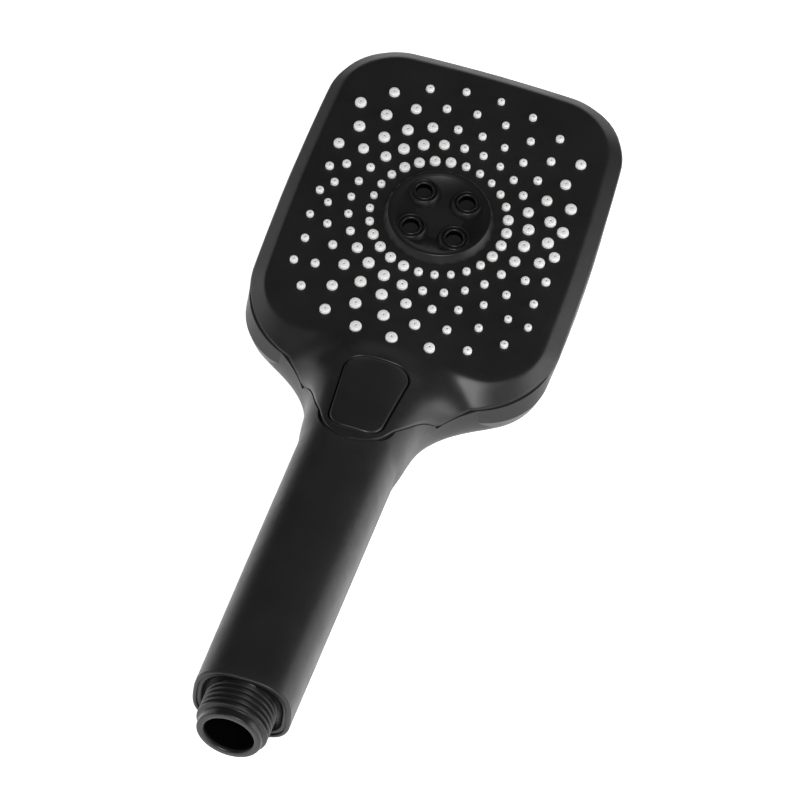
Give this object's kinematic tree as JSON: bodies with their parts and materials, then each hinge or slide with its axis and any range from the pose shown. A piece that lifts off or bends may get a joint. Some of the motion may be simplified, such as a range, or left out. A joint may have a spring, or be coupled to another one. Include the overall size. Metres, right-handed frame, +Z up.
{
  "type": "handheld shower head",
  "caption": "Handheld shower head with a rounded rectangular spray face, soft white nozzles, four central jets, a push-button spray selector and a male hose thread.",
  "frame": {"origin": "under the middle of the object's bounding box, level with its lowest point, the object on its back with the spray face up", "axes": "+Z up; +Y towards the head, -Y towards the hose thread; the YZ plane is the plane of symmetry of the outside"},
  "size_m": [0.1038, 0.2745, 0.0523],
  "materials": {
    "black_shell": "fine satin black moulded ABS",
    "black_cover": "satin black, slightly smoother than the rear shell",
    "white_silicone": "soft white silicone",
    "black_jet": "glossier black moulded insert",
    "inner_plastic": "natural grey engineering plastic",
    "seal_rubber": "EPDM rubber",
    "steel": "stainless",
    "strainer_white": "white acetal"
  },
  "bodies": {
    "shower": {"rear_housing": "black_shell", "front_cover": "black_cover", "end_collar": "black_shell", "inlet_connector": "black_shell", "nozzle_mat": "white_silicone", "centre_disc": "black_jet", "jet_nozzles": "black_jet", "swirl_cores": "inner_plastic", "spray_plate": "inner_plastic", "chamber_seal": "seal_rubber", "chamber_back": "inner_plastic", "cover_screws": "steel", "centre_screw": "steel", "valve_body": "inner_plastic", "valve_seal": "seal_rubber", "valve_cap": "inner_plastic", "valve_screws": "steel", "rod_seal": "seal_rubber", "duct_gasket": "seal_rubber", "transfer_duct": "inner_plastic", "retaining_clip": "steel", "water_tube": "inner_plastic", "inlet_tube_seal": "seal_rubber", "valve_tube_seal": "seal_rubber", "flow_limiter": "strainer_white", "inlet_strainer": "strainer_white", "button_spring": "steel"},
    "button_group": {"button": "black_cover", "push_rod": "inner_plastic"},
    "selector": {"selector_rotor": "inner_plastic"}
  },
  "joints": [
    {"name": "button_press", "type": "slide", "parent": "shower", "child": "button_group", "axis": [0, 0, -1], "range_m": [0, 0.0022], "stiffness_N_per_m": 1500, "springref_m": -0.002, "deforming": ["button_spring"]},
    {"name": "selector_turn", "type": "hinge", "parent": "shower", "child": "selector", "pos_m": [0, -0.00777, 0.009], "axis": [0, 0, 1], "range_deg": [0, 60]}
  ],
  "couplings": [
    {"joint": "selector_turn", "follows": "button_press", "rad_per_m": 476}
  ]
}
